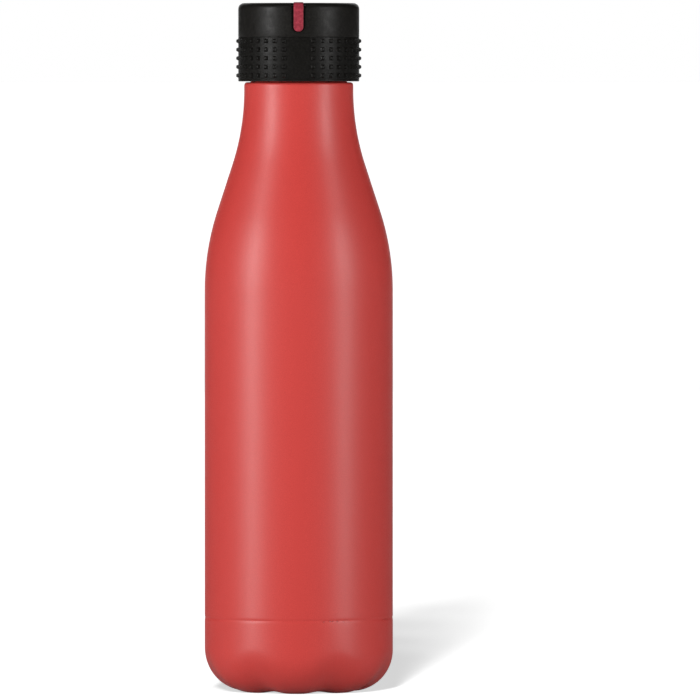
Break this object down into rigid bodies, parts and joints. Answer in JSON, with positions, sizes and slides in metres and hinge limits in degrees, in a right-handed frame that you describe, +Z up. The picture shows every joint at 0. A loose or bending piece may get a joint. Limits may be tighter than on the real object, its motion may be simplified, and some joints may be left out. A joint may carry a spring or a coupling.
{
  "type": "insulated water bottle",
  "caption": "Slim double-walled steel water bottle with a sloping shoulder, a lobed base and a studded screw cap that has a coloured marker tab.",
  "frame": {"origin": "on the bottle's axis, in the plane that the base's feet stand on", "axes": "+Z up the bottle to the cap; -Y to the front, where the cap's marker tab is at rest; +X to the right as seen from the front"},
  "size_m": [0.07, 0.07, 0.2562],
  "materials": {
    "painted_steel": "satin coral-red powder coat over stainless steel",
    "bare_steel": "electropolished stainless steel with fine turning lines",
    "solder": "dull glass-like solder bead",
    "getter_metal": "pressed porous metal powder",
    "silicone": "translucent white silicone",
    "cap_plastic": "satin black moulded plastic",
    "grip_rubber": "soft black rubber with moulded studs",
    "marker_plastic": "crimson moulded plastic, satin gloss",
    "inner_plastic": "black food-safe moulded plastic",
    "foam": "closed-cell white foam"
  },
  "bodies": {
    "bottle": {"outer_shell": "painted_steel", "base_cup": "painted_steel", "vacuum_seal": "solder", "inner_flask": "bare_steel", "inner_bottom": "bare_steel", "getter_pellet": "getter_metal", "getter_holder": "bare_steel"},
    "gasket": {"lip_gasket": "silicone"},
    "cap": {"cap_shell": "cap_plastic", "grip_band": "grip_rubber", "marker_tab": "marker_plastic", "inner_cap": "inner_plastic", "cap_insulation": "foam"}
  },
  "joints": [
    {"name": "cap_lift", "type": "slide", "parent": "bottle", "child": "gasket", "axis": [0, 0, 1], "range_m": [0, 0.02401]},
    {"name": "cap_turn", "type": "hinge", "parent": "gasket", "child": "cap", "pos_m": [0, 0, 0.2349], "axis": [0, 0, 1], "range_deg": [0, 1080]}
  ],
  "couplings": [
    {"joint": "cap_lift", "follows": "cap_turn", "m_per_rad": 0.0012732}
  ]
}
